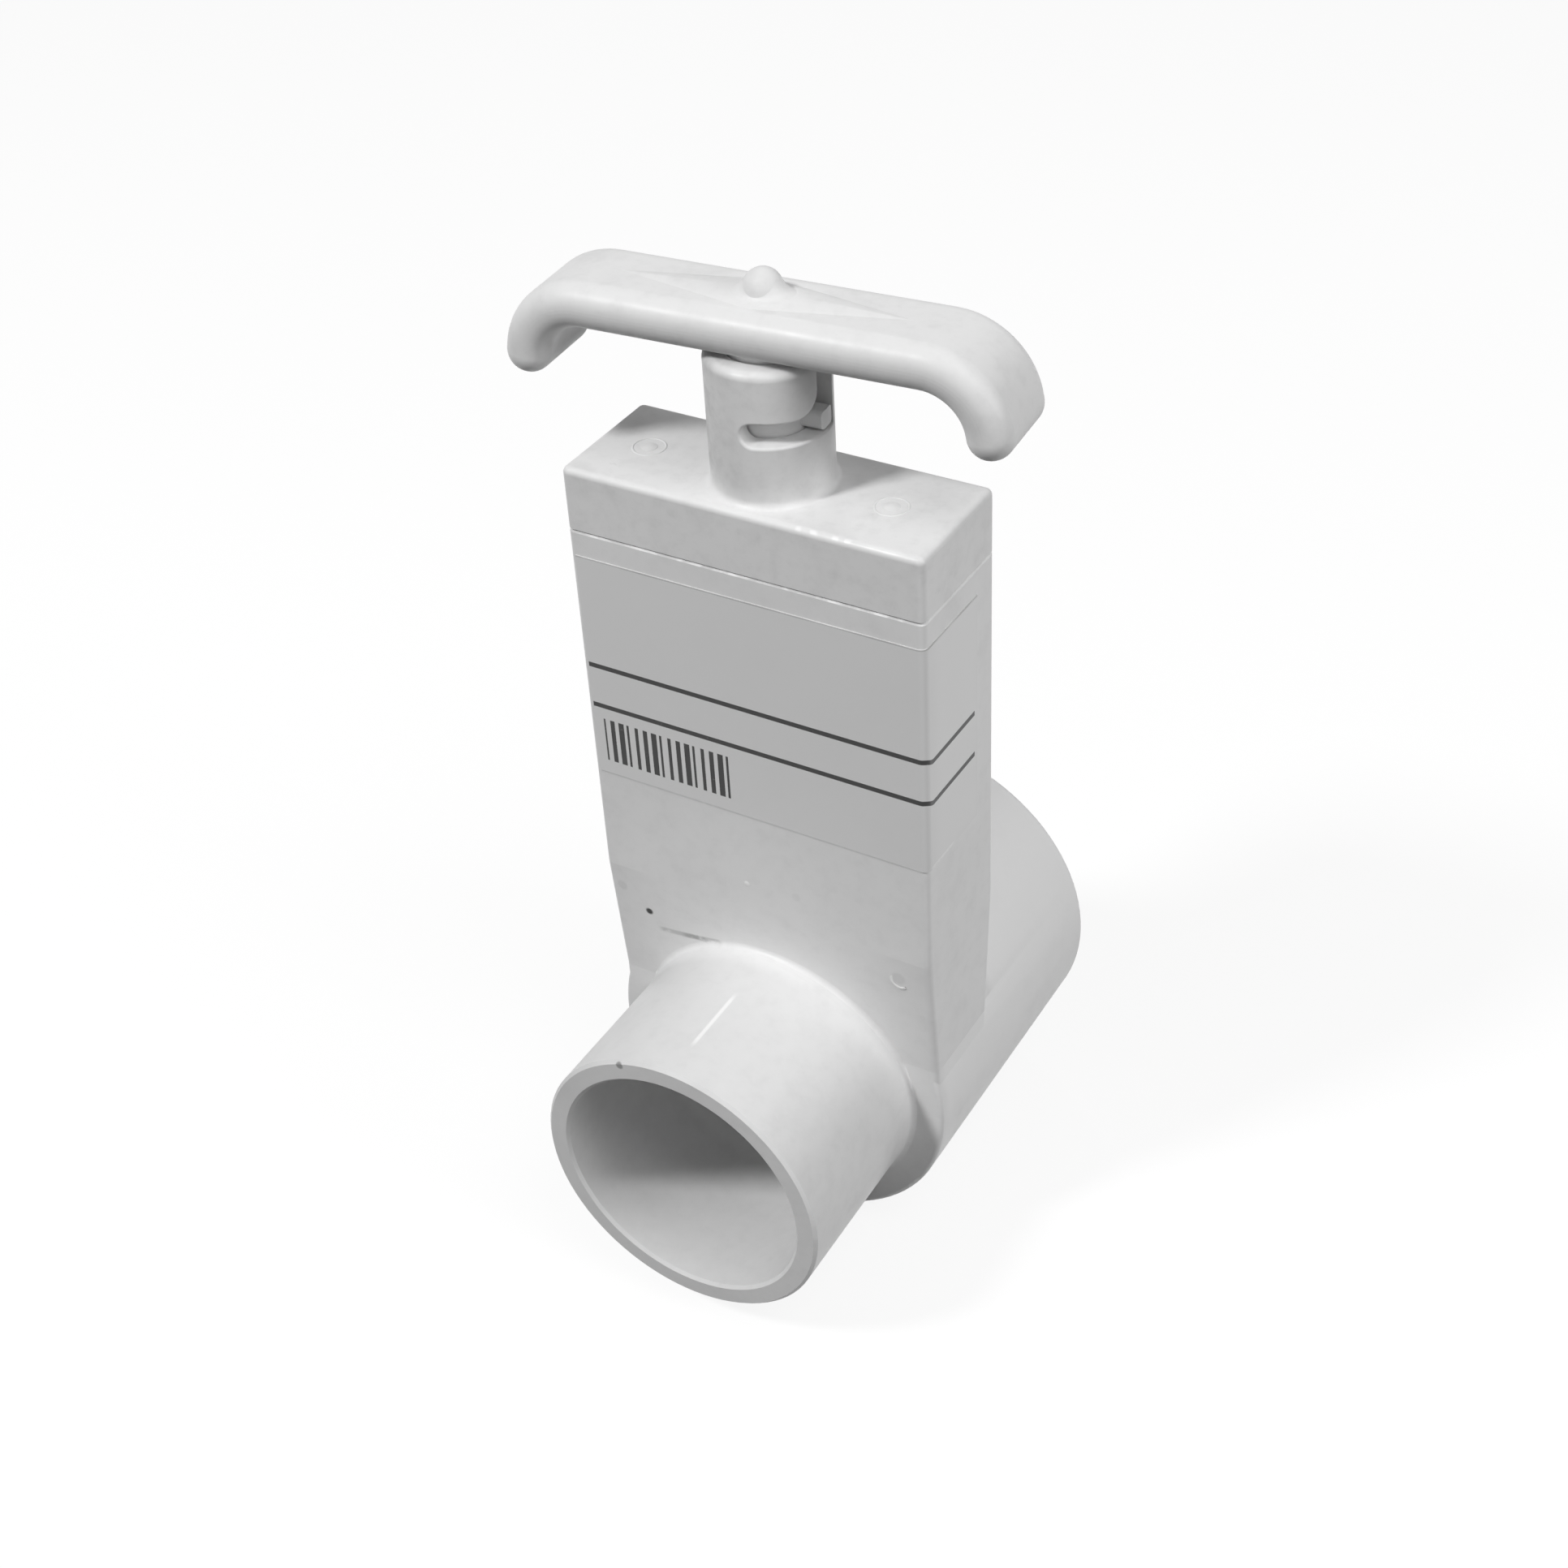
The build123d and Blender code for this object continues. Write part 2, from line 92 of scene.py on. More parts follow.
class Wire:
    """A number or vector that a node gives, so that shader maths is written as plain arithmetic."""

    def __init__(self, shading, output):
        self.shading = shading
        self.output = output

    def maths(self, operation, *values):
        sockets = dict(enumerate(values))
        return self.shading.node("ShaderNodeMath", {"operation": operation}, sockets)

    def __add__(self, other):
        return self.maths("ADD", self, other)

    __radd__ = __add__

    def __sub__(self, other):
        return self.maths("SUBTRACT", self, other)

    def __rsub__(self, other):
        return self.maths("SUBTRACT", other, self)

    def __mul__(self, other):
        return self.maths("MULTIPLY", self, other)

    __rmul__ = __mul__

    def __truediv__(self, other):
        return self.maths("DIVIDE", self, other)

    def __gt__(self, other):
        return self.maths("GREATER_THAN", self, other)

    def __lt__(self, other):
        return self.maths("LESS_THAN", self, other)

    def __abs__(self):
        return self.maths("ABSOLUTE", self)

    def fraction(self):
        return self.maths("FRACT", self)

    def highest(self, other):
        return self.maths("MAXIMUM", self, other)

    def lowest(self, other):
        return self.maths("MINIMUM", self, other)

    def step(self, low, high, start=0.0, end=1.0):
        """Goes smoothly from start to end as the number goes from low to high."""
        sockets = {"Value": self, "From Min": low, "From Max": high, "To Min": start, "To Max": end}
        settings = {"interpolation_type": "SMOOTHSTEP"}
        return self.shading.node("ShaderNodeMapRange", settings, sockets)

    def band(self, middle, half, edge):
        """1 within half of the middle, falling to 0 over the edge."""
        return 1 - abs(self - middle).step(half, half + edge)


class Shading:
    """A node tree under construction, of a material or of the world."""

    def __init__(self, tree):
        tree.nodes.clear()
        self.tree = tree

    def node(self, kind, settings=None, sockets=None, output=0):
        """Adds a node with its settings, fills its sockets with values or wires, and gives one output."""
        made = self.tree.nodes.new(kind)
        for name, value in (settings or {}).items():
            setattr(made, name, value)
        for name, value in (sockets or {}).items():
            if isinstance(value, Wire):
                self.tree.links.new(value.output, made.inputs[name])
            else:
                made.inputs[name].default_value = value
        return Wire(self, made.outputs[output]) if made.outputs else None

    def place(self, offset=(0, 0, 0), scale=(1, 1, 1), turn=(0, 0, 0)):
        """Where a point is on the valve, in metres, moved, turned and scaled for a pattern."""
        point = self.node("ShaderNodeTexCoord", output="Object")
        sockets = {"Vector": point, "Location": offset, "Rotation": turn, "Scale": scale}
        return self.node("ShaderNodeMapping", {"vector_type": "POINT"}, sockets)

    def axes(self):
        """The three coordinates of a point on the valve, in metres."""
        point = self.node("ShaderNodeTexCoord", output="Object")
        return [self.node("ShaderNodeSeparateXYZ", None, {"Vector": point}, axis) for axis in "XYZ"]

    def noise(self, size, detail=2.0, roughness=0.5, place=None):
        """Soft noise from 0 to 1 whose lumps are about size metres across."""
        place = place or self.place()
        sockets = {"Vector": place, "Scale": 1 / size, "Detail": detail, "Roughness": roughness}
        return self.node("ShaderNodeTexNoise", None, sockets)

    def near(self, spot, reach):
        """1 at a spot on the valve, in metres, and 0 past its reach."""
        point = self.node("ShaderNodeTexCoord", output="Object")
        away = self.node("ShaderNodeVectorMath", {"operation": "DISTANCE"}, {0: point, 1: spot}, "Value")
        return 1 - away.step(reach * 0.5, reach)

    def scratch(self, start, end, half, edge):
        """1 along a thin line on the front of the body, between two points given as (x, z)."""
        x, y, z = self.axes()
        length = math.hypot(end[0] - start[0], end[1] - start[1])
        way = ((end[0] - start[0]) / length, (end[1] - start[1]) / length)
        along = (x - start[0]) * way[0] + (z - start[1]) * way[1]
        across = (z - start[1]) * way[0] - (x - start[0]) * way[1]
        line = across.band(0, half, edge) * along.band(length / 2, length / 2 - 1 * MM, 1.5 * MM)
        return line * (y < 0) * (y > front_y - 0.05 * MM)

    def blend(self, share, first, second):
        """A colour that goes from the first to the second as the share goes from 0 to 1."""
        first, second = [(*c, 1) if isinstance(c, tuple) else c for c in (first, second)]
        sockets = {0: share, 6: first, 7: second}    # inputs 6 and 7 and output 2 carry colours
        return self.node("ShaderNodeMix", {"data_type": "RGBA", "clamp_factor": True}, sockets, 2)

    def bump(self, height, depth, below=None):
        """Normals raised by a height from 0 to 1 that stands depth metres proud."""
        sockets = {"Height": height, "Distance": depth, "Strength": 1.0}
        if below is not None:
            sockets["Normal"] = below
        return self.node("ShaderNodeBump", None, sockets)


def new_finish(name, colour):
    """A material and its empty node tree."""
    material = bpy.data.materials.new(name)
    material.use_nodes = True
    material.diffuse_color = (*colour, 1)
    return material, Shading(material.node_tree)


def close_finish(shading, **sockets):
    """The surface shader that the finish's colour, roughness and normals feed."""
    named = {name.replace("_", " ").title().replace("Ior", "IOR"): value for name, value in sockets.items()}
    surface = shading.node("ShaderNodeBsdfPrincipled", None, named)
    shading.node("ShaderNodeOutputMaterial", None, {"Surface": surface})


def dress(material, *nodes):
    """Gives the material to every slot of the CAD nodes."""
    for name in nodes:
        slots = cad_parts[name].material_slots
        for slot in slots:
            slot.material = material


# Settings


class PlasticSettings(bpy.types.PropertyGroup):
    """Colours, gloss and fine relief of the white moulded parts."""

    body_colour: FloatVectorProperty(
        name="Body colour", description="Colour of the body and the parts inside it",
        subtype="COLOR", size=3, min=0, max=1, default=(0.83, 0.83, 0.83))
    cap_colour: FloatVectorProperty(
        name="Cap colour", description="Colour of the cap and its collar",
        subtype="COLOR", size=3, min=0, max=1, default=(0.815, 0.815, 0.815))
    # The stem is paler than the body: painted light that lifts the shade the bar casts on the stem and its
    # lugs in the collar's slots
    stem_colour_with_painted_light: FloatVectorProperty(
        name="Stem colour", description="Colour of the stem and its lugs, which the collar keeps clean",
        subtype="COLOR", size=3, min=0, max=1, default=(0.92, 0.92, 0.92))
    handle_colour: FloatVectorProperty(
        name="Handle colour", description="Colour of the bar and its plug",
        subtype="COLOR", size=3, min=0, max=1, default=(0.79, 0.79, 0.79))
    grime_colour: FloatVectorProperty(
        name="Grime colour", description="Colour that handling leaves in blotches on the plastic",
        subtype="COLOR", size=3, min=0, max=1, default=(0.62, 0.62, 0.62))
    speck_colour: FloatVectorProperty(
        name="Speck colour", description="Colour of the dark specks in the moulding",
        subtype="COLOR", size=3, min=0, max=1, default=(0.03, 0.03, 0.03))
    roughness: FloatProperty(
        name="Roughness", description="Roughness of the moulded surface",
        subtype="FACTOR", min=0, max=1, default=0.36)
    reflection: FloatProperty(
        name="Reflection", description="How strongly the plastic reflects, where 0.5 is new and clean",
        subtype="FACTOR", min=0, max=1, default=0.2)
    waviness: FloatProperty(
        name="Surface waviness", description="Height of the slow waves in the moulded surface",
        unit="LENGTH", min=0, max=0.001, default=0.00003)
    dimpling: FloatProperty(
        name="Dimpling", description="Height of the small dimples that break up the highlights",
        unit="LENGTH", min=0, max=0.001, default=0.000006)
    mark_height: FloatProperty(
        name="Mark height", description="How far the marks of the mould stand proud",
        unit="LENGTH", min=0, max=0.001, default=0.00009)


class RootSettings(bpy.types.PropertyGroup):
    """Hollow roots of the collar and of the plug's dome."""

    collar_root: FloatProperty(
        name="Collar root", description="How far the collar's hollow root reaches over the cap",
        unit="LENGTH", min=0.0001, max=0.002, default=0.0008)
    plug_root: FloatProperty(
        name="Plug root", description="Radius of the hollow between the plug's dome and the bar",
        unit="LENGTH", min=0.0005, max=0.006, default=0.0036)


class LabelSettings(bpy.types.PropertyGroup):
    """Film and print of the label."""

    film_colour: FloatVectorProperty(
        name="Film colour", description="Colour of the film over the plastic",
        subtype="COLOR", size=3, min=0, max=1, default=(0.75, 0.75, 0.75))
    side_colour: FloatVectorProperty(
        name="Side colour", description="Colour of the film on the right side, where it lies closer",
        subtype="COLOR", size=3, min=0, max=1, default=(0.80, 0.80, 0.80))
    ink_colour: FloatVectorProperty(
        name="Ink colour", description="Colour of the print",
        subtype="COLOR", size=3, min=0, max=1, default=(0.015, 0.015, 0.015))
    rule_width: FloatProperty(
        name="Rule width", description="Width of the two plain rules round the corner",
        unit="LENGTH", min=0, max=0.005, default=0.0007)
    upper_rule: FloatProperty(
        name="Upper rule", description="Height of the upper rule above the pipe's centre",
        unit="LENGTH", default=0.0712)
    lower_rule: FloatProperty(
        name="Lower rule", description="Height of the lower rule above the pipe's centre",
        unit="LENGTH", default=0.0640)
    rule_drop: FloatProperty(
        name="Rule drop", description="How much lower the rules lie on the right side than on the front",
        unit="LENGTH", default=0.0007)


class StudioSettings(bpy.types.PropertyGroup):
    """Lamps, floor and camera."""

    key_power: FloatProperty(
        name="Key power", description="Power of the lamp at the left front",
        unit="POWER", min=0, default=8.85)
    side_power: FloatProperty(
        name="Side power", description="Power of the broad lamp at the right",
        unit="POWER", min=0, default=5.0)
    upper_power: FloatProperty(
        name="Upper power", description="Power of the broad lamp above on the right",
        unit="POWER", min=0, default=3.4)
    rim_power: FloatProperty(
        name="Rim power", description="Power of the small lamp behind the left side",
        unit="POWER", min=0, default=0.5)
    room_light: FloatProperty(
        name="Room light", description="Brightness of the pale room all round",
        min=0, max=1, default=0.125)
    floor_colour: FloatVectorProperty(
        name="Floor colour", description="Colour of the floor that lights the valve from below",
        subtype="COLOR", size=3, min=0, max=1, default=(0.08, 0.08, 0.08))
    lens: FloatProperty(
        name="Lens", description="Focal length in millimetres on a 36 mm frame",
        min=10, max=200, default=55.32)


# Finishes


def moulded_plastic(
        name, colour, settings, mottle=1.0, specks=(), painted_crease_shades=(), wear_and_painted_light=(), worn=0.0, form=None):
    """White moulded plastic: slow waves, dimples and faint blotches, with its own specks and painted crease
    shades.

    The mottle scales blotches and dimples. A speck is a spot, its reach and how dark it is, and a painted
    crease shade is two points, as (x, z), and how dark it is: a dark line painted where a fold in the
    surface is shaded. The wear_and_painted_light is a list of functions, as below, for wear, dirt and
    painted light and shade, and worn adds to the roughness everywhere. The form is a function that gives a
    height in metres under the waves.
    """
    material, made = new_finish(name, colour)
    clouds = made.noise(18 * MM, 3.0)
    blotches = made.noise(5 * MM, 4.0, 0.6)
    dimples = made.noise(2.2 * MM, 3.0, 0.55)
    grain = made.noise(0.7 * MM, 2.0)
    soiled = blotches.step(0.45, 0.85) * 0.20 + dimples.step(0.45, 0.80) * 0.12
    soiled = soiled + grain.step(0.55, 0.8) * 0.05
    soiled = soiled * mottle + clouds.step(0.40, 0.80) * 0.14
    tone = made.blend(soiled, colour, tuple(settings.grime_colour))
    speck_colour = tuple(settings.speck_colour)
    roughness = settings.roughness + worn + (blotches - 0.5) * (0.16 * mottle)
    for kind in wear_and_painted_light:
        share, shade, rougher = kind(made, dimples)
        tone = made.blend(share, tone, shade)
        roughness = roughness + share * rougher
    for spot, reach, dark in specks:
        tone = made.blend(made.near(spot, reach) * dark, tone, speck_colour)
    # each crease is a dark line painted as the shade of a fold
    for start, end, dark in painted_crease_shades:
        line = made.scratch(start, end, 0.2 * MM, 0.5 * MM) * dimples.step(0.25, 0.5)
        tone = made.blend(line * dark, tone, speck_colour)
    waves = made.bump(clouds, settings.waviness, form and made.bump(form(made), 1.0))
    dimpled = made.bump(dimples, settings.dimpling * mottle, waves)
    close_finish(
        made, base_color=tone, roughness=roughness, normal=made.bump(grain, 0.002 * MM, dimpled),
        ior=1.53, specular_ior_level=settings.reflection)
    return material


# Wear, dirt and painted light and shade: each gives a share, a colour and what it adds to the roughness


def joint_dirt(made, uneven):
    """Dirt on the bevel at the top of the body, under the cap, broken up along the joint."""
    x, _, z = made.axes()
    bevel = 0.42 * MM
    share = uneven.step(0.35, 0.6, 0.1, 0.7) * x.step(27.5 * MM, 28.5 * MM, 1.0, 0.2)
    return (z > joint_z - bevel) * share, (0.56, 0.56, 0.56), 0.4


def spigot_painted_shade(made, uneven):
    """Painted shade that darkens the outside of the spigot, most on the left and least on the right."""
    x, y, z = made.axes()
    left = x.step(-23 * MM, -11 * MM, 0.4, 0.0) * z.step(6 * MM, 12 * MM)
    share = x.step(2 * MM, 17 * MM, 0.42, 0.2) + left + (uneven - 0.5) * 0.2
    return y.step(-14.5 * MM, -11.5 * MM, 1.0, 0.0) * share, (0.66, 0.66, 0.66), 0.0


def socket_painted_light(made, uneven):
    """Painted light on the socket and the round bottom, paler most of all on top, where the light falls on
    them.
    """
    _, y, z = made.axes()
    round_bottom = (z < saddle_z) * y.step(front_y + 2.5 * MM, front_y + 5 * MM)
    where = y.step(10.8 * MM, 13.5 * MM).highest(round_bottom)
    share = z.step(-16 * MM, 10 * MM) * (0.7 + (uneven - 0.5) * 0.3)
    return where * share, (0.93, 0.93, 0.93), 0.0


def collar_grime_and_painted_shade(made, uneven):
    """Dirt from handling in blotches, and painted shade, that darken the left of the collar."""
    x, _, z = made.axes()
    share = x.step(-7 * MM, 2 * MM, 1.0, 0.0) * uneven.step(0.30, 0.70, 0.4, 0.95)
    return z.step(cap_top + 0.5 * MM, cap_top + 4 * MM) * share, (0.58, 0.58, 0.58), 0.1


def parting_line_painted_highlight(made, uneven):
    """A painted highlight: a bright, narrow glint painted along the line that the halves of the mould leave
    on top of the spigot.
    """
    x, y, z = made.axes()
    line = x.band(0.2 * MM, 0.12 * MM, 0.35 * MM) * y.band(-26.4 * MM, 4.5 * MM, 2.5 * MM)
    return line * (z > 20 * MM) * 0.8, (0.96, 0.96, 0.96), -0.1


def edge_wear(made, uneven):
    """Wear that dulls the front top edge of the cap, except at its right end."""
    x, y, z = made.axes()
    top, front = z - cap_top, y - front_y
    edge = top.step(-1.2 * MM, -0.7 * MM) * front.step(0.7 * MM, 1.2 * MM, 1.0, 0.0)
    return edge * x.step(8 * MM, 20 * MM, 0.4, 0.0), (0.80, 0.80, 0.80), 0.3


def edge_painted_highlight(made, uneven):
    """Painted highlights on the front top edge of the cap: a few bright beads, and a thin bright line at
    its right end.
    """
    x, y, z = made.axes()
    top, front = z - cap_top, y - front_y
    edge = top.step(-0.6 * MM, -0.3 * MM) * front.step(0.45 * MM, 0.85 * MM, 1.0, 0.0)
    spacing = 2.8 * MM
    swayed = x / spacing + (made.noise(4 * MM, 1.0) - 0.5) * 1.5
    beads = swayed.fraction().band(0.5, 0.12, 0.2) * x.band(14.4 * MM, 4.8 * MM, 0.6 * MM)
    line = x.band(23.0 * MM, 1.5 * MM, 2.5 * MM) * uneven.step(0.3, 0.6, 0.4, 1.0)
    # white colour painted as the highlights
    return edge * (beads * 0.55).highest(line * 0.4), (1.0, 1.0, 1.0), -0.08


# Form


def soft_shoulder(made):
    """A height in metres that rounds the light where the body's front and back begin to taper."""
    x, _, z = made.axes()
    reach, bend = 8.5 * MM, taper / (shoulder_z - saddle_z)
    away = abs(z - shoulder_z).lowest(reach)
    return away * (1 - away / (2 * reach)) * (bend / 2) * abs(x).step(15 * MM, 27 * MM, 1.0, 0.0)


# Operators that dress the parts


class SLIDEVALVE_OT_plastic(bpy.types.Operator):
    """Gives the moulded parts their white plastic, with their specks, painted crease shades, wear, dirt and
    painted light and shade
    """

    bl_idname = "slidevalve.plastic"
    bl_label = "Moulded plastic"

    def execute(self, context):
        settings = context.scene.slide_valve_plastic
        colour = tuple(settings.body_colour)
        specks = [
            ((-21.9 * MM, -10.0 * MM, 24.6 * MM), 0.85 * MM, 1.0),
            ((-8.7 * MM, -39.3 * MM, 21.7 * MM), 0.8 * MM, 0.6),
            (bump_spot, 0.5 * MM, 0.15),
            ((6.2 * MM, front_y, 38.6 * MM), 1.0 * MM, 0.05),
            ((23.2 * MM, -10.2 * MM, 28.9 * MM), 1.5 * MM, 0.10),
            ((-26.4 * MM, -10.3 * MM, 28.6 * MM), 1.2 * MM, 0.10),
        ]
        # Dark lines painted where folds in the body's front, left of the spigot, are shaded: painted shade,
        # with no groove under it
        painted_crease_shades = [
            ((-20.4 * MM, 21.4 * MM), (-11.1 * MM, 22.5 * MM), 0.30),
            ((-16.0 * MM, 21.9 * MM), (-8.6 * MM, 23.1 * MM), 0.30),
        ]
        # Dirt in the joint, painted shade on the spigot, painted light on the socket and a painted
        # highlight on the parting line
        body_dirt_and_painted_light = (joint_dirt, spigot_painted_shade, socket_painted_light, parting_line_painted_highlight)
        body = moulded_plastic(
            "body_plastic", colour, settings, mottle=1.1, specks=specks, painted_crease_shades=painted_crease_shades,
            wear_and_painted_light=body_dirt_and_painted_light, form=soft_shoulder)
        dress(body, "valve_body")
        cap_colour = tuple(settings.cap_colour)
        # Wear on the cap's edge, painted highlights on it, and dirt with painted shade on the collar
        cap_wear_and_painted_light = (edge_wear, edge_painted_highlight, collar_grime_and_painted_shade)
        cap = moulded_plastic("cap_plastic", cap_colour, settings, mottle=2.0, wear_and_painted_light=cap_wear_and_painted_light)
        dress(cap, "bonnet_cap")
        # the stem's paler colour is painted light in the shaded slots of the collar
        dress(moulded_plastic("stem_plastic", tuple(settings.stem_colour_with_painted_light), settings), "stem")
        inside = ("gate_blade", "gland_spacer", "gland_retainer")
        dress(moulded_plastic("gate_plastic", colour, settings), *inside)
        handle_colour = tuple(settings.handle_colour)
        for name, node, worn in (("handle_plastic", "handle", 0.04), ("plug_plastic", "handle_plug", 0.15)):
            dress(moulded_plastic(name, handle_colour, settings, mottle=1.8, worn=worn), node)
        return {"FINISHED"}


class SLIDEVALVE_OT_rubber_and_steel(bpy.types.Operator):
    """Gives the seals their rubber, and the washer, clip and screw their steel"""

    bl_idname = "slidevalve.rubber_and_steel"
    bl_label = "Rubber and steel"

    def execute(self, context):
        rubber, made = new_finish("seal_rubber", (0.03, 0.03, 0.03))
        grain = made.noise(0.5 * MM, 4.0, 0.6)
        bloom = made.noise(4 * MM, 3.0).step(0.5, 0.8)
        close_finish(
            made, base_color=made.blend(bloom * 0.5, (0.022, 0.022, 0.023), (0.06, 0.06, 0.058)),
            roughness=0.62 + bloom * 0.2, normal=made.bump(grain, 0.008 * MM))
        dress(rubber, "front_port_seal", "rear_port_seal", "lower_stem_oring", "upper_stem_oring")

        steel, made = new_finish("turned_steel", (0.55, 0.55, 0.55))
        lines = made.noise(0.25 * MM, 3.0, 0.6, made.place(scale=(1, 1, 12)))
        smears = made.noise(3 * MM, 2.0)
        close_finish(
            made, base_color=made.blend(smears, (0.50, 0.50, 0.51), (0.66, 0.66, 0.65)),
            metallic=1.0, roughness=0.24 + lines * 0.22, normal=made.bump(lines, 0.003 * MM))
        dress(steel, "stem_washer", "stem_clip", "handle_screw")
        return {"FINISHED"}


class SLIDEVALVE_OT_label(bpy.types.Operator):
    """Gives the label its film, with two plain rules and a block of evenly spaced bars"""

    bl_idname = "slidevalve.label"
    bl_label = "Label"

    def execute(self, context):
        settings = context.scene.slide_valve_label
        film, made = new_finish("label_film", tuple(settings.film_colour))
        x, y, z = made.axes()
        along = x - label_low.x
        soft = 0.12 * MM

        half = settings.rule_width / 2
        level = z + y.step(front_y, front_y + 2 * MM, 0.0, settings.rule_drop)
        rules = level.band(settings.upper_rule, half, soft) + level.band(settings.lower_rule, half, soft)
        run = (along > 0.2 * MM) * (y < label_high.y - 0.9 * MM)

        bar_spacing = 1.45 * MM
        group_spacing = 4 * bar_spacing    # of four bars, from thin to thick
        bar_share = (along / group_spacing).fraction() * 0.45 + 0.25
        bars = (along / bar_spacing).fraction() < bar_share
        block = x.band(-14.8 * MM, 11.1 * MM, soft) * z.band(57.8 * MM, 3.8 * MM, soft) * (y < 0)

        fading = made.noise(0.8 * MM, 3.0, 0.6)
        ink = (rules * run).highest(bars * block) * fading.step(0.1, 0.35, 0.82, 1.0)

        clouds = made.noise(12 * MM, 3.0)
        tone = made.blend(clouds.step(0.4, 0.8) * 0.1, tuple(settings.film_colour), (0.66, 0.66, 0.66))
        on_side = (y - front_y).step(0.5 * MM, 5 * MM, 0.0, 0.7)
        tone = made.blend(on_side, tone, tuple(settings.side_colour))
        worn_edge = (z > label_high.z - 0.25 * MM) * clouds.step(0.35, 0.65, 0.9, 0.3)
        tone = made.blend(worn_edge, tone, (0.52, 0.52, 0.52))
        # Painted highlight along the lower edge of the film on the right side near the front corner, as if
        # the edge were lifted
        lifted_edge_highlight = (z < label_low.z + 0.5 * MM) * y.band(-6 * MM, 2.5 * MM, 2 * MM)
        lifted_edge_highlight = lifted_edge_highlight * fading.step(0.3, 0.6, 0.2, 1.0)
        tone = made.blend(lifted_edge_highlight * 0.7, tone, (0.95, 0.95, 0.95))
        swell = made.noise(6 * MM, 2.0, 0.5, made.place(scale=(1, 1, 0.6)))
        close_finish(
            made, base_color=made.blend(ink, tone, tuple(settings.ink_colour)),
            roughness=0.30 + clouds * 0.1 + worn_edge * 0.5, normal=made.bump(swell, 0.03 * MM), ior=1.5)
        dress(film, "label_film")
        return {"FINISHED"}


# Small pieces


def settle(piece, name, turn, spot, material, body="housing"):
    """Names a new piece, turns it to its surface, puts its place in its mesh and lets it ride on a body."""
    piece.name = name
    piece.rotation_euler = turn
    piece.location = spot
    bpy.ops.object.transform_apply(location=True, rotation=True, scale=True)
    bpy.ops.object.shade_smooth_by_angle(angle=math.radians(50))
    piece.data.materials.append(bpy.data.materials[material])
    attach(piece, body)


def spun_ring(profile):
    """A closed ring about the stem, through the points of its profile, given as (radius, height)."""
    bpy.ops.object.select_all(action="DESELECT")
    radius, height = profile[0]
    bpy.ops.mesh.primitive_circle_add(vertices=96, radius=radius, location=(0, 0, height))
    piece = bpy.context.object
    bpy.ops.object.transform_apply(location=True, rotation=False, scale=False)
    bpy.ops.object.mode_set(mode="EDIT")
    bpy.ops.mesh.select_all(action="SELECT")
    for next_radius, next_height in (*profile[1:], profile[0]):
        bpy.ops.mesh.extrude_region_move(TRANSFORM_OT_translate={"value": (0, 0, next_height - height)})
        bpy.ops.transform.resize(value=(next_radius / radius, next_radius / radius, 1))
        radius, height = next_radius, next_height
    bpy.ops.mesh.select_all(action="SELECT")
    bpy.ops.mesh.remove_doubles(threshold=0.001 * MM)
    bpy.ops.mesh.normals_make_consistent(inside=False)
    bpy.ops.object.mode_set(mode="OBJECT")
    return piece


def raised_ring(radius, width, height, gap=False):
    """A flat ring that a round pin of the mould leaves, half sunk; a gap opens it to a C."""
    bpy.ops.object.select_all(action="DESELECT")
    bpy.ops.mesh.primitive_torus_add(
        major_radius=radius, minor_radius=width / 2, major_segments=72, minor_segments=12)
    bpy.ops.object.mode_set(mode="EDIT")
    bpy.ops.mesh.select_all(action="SELECT")
    bpy.ops.transform.resize(value=(1, 1, 2 * height / width))
    if gap:
        cut, slant = radius * 0.45, (1, 0.25, 0)
        bpy.ops.mesh.bisect(plane_co=(cut, 0, 0), plane_no=slant, use_fill=True, clear_outer=True)
    bpy.ops.object.mode_set(mode="OBJECT")
    return bpy.context.object


def pimple(radius, height):
    """A low round bump, sunk in the surface below it."""
    bpy.ops.object.select_all(action="DESELECT")
    bpy.ops.mesh.primitive_cylinder_add(vertices=32, radius=radius, depth=2 * height)
    piece = bpy.context.object
    bpy.ops.object.mode_set(mode="EDIT")
    bpy.ops.mesh.select_all(action="DESELECT")
    bpy.ops.object.mode_set(mode="OBJECT")
    for face in piece.data.polygons:
        face.select = face.normal.z > 0.9
    bpy.ops.object.mode_set(mode="EDIT")
    bpy.ops.mesh.select_mode(type="FACE")
    bpy.ops.transform.translate(value=(0, 0, -0.8 * height))
    rings = ((0.30, 0.45), (0.30, 0.25), (0.25, 0.10))    # shares of the radius and of the height
    for width, rise in rings:
        bpy.ops.mesh.inset(thickness=width * radius, depth=rise * height)
    bpy.ops.object.mode_set(mode="OBJECT")
    return piece


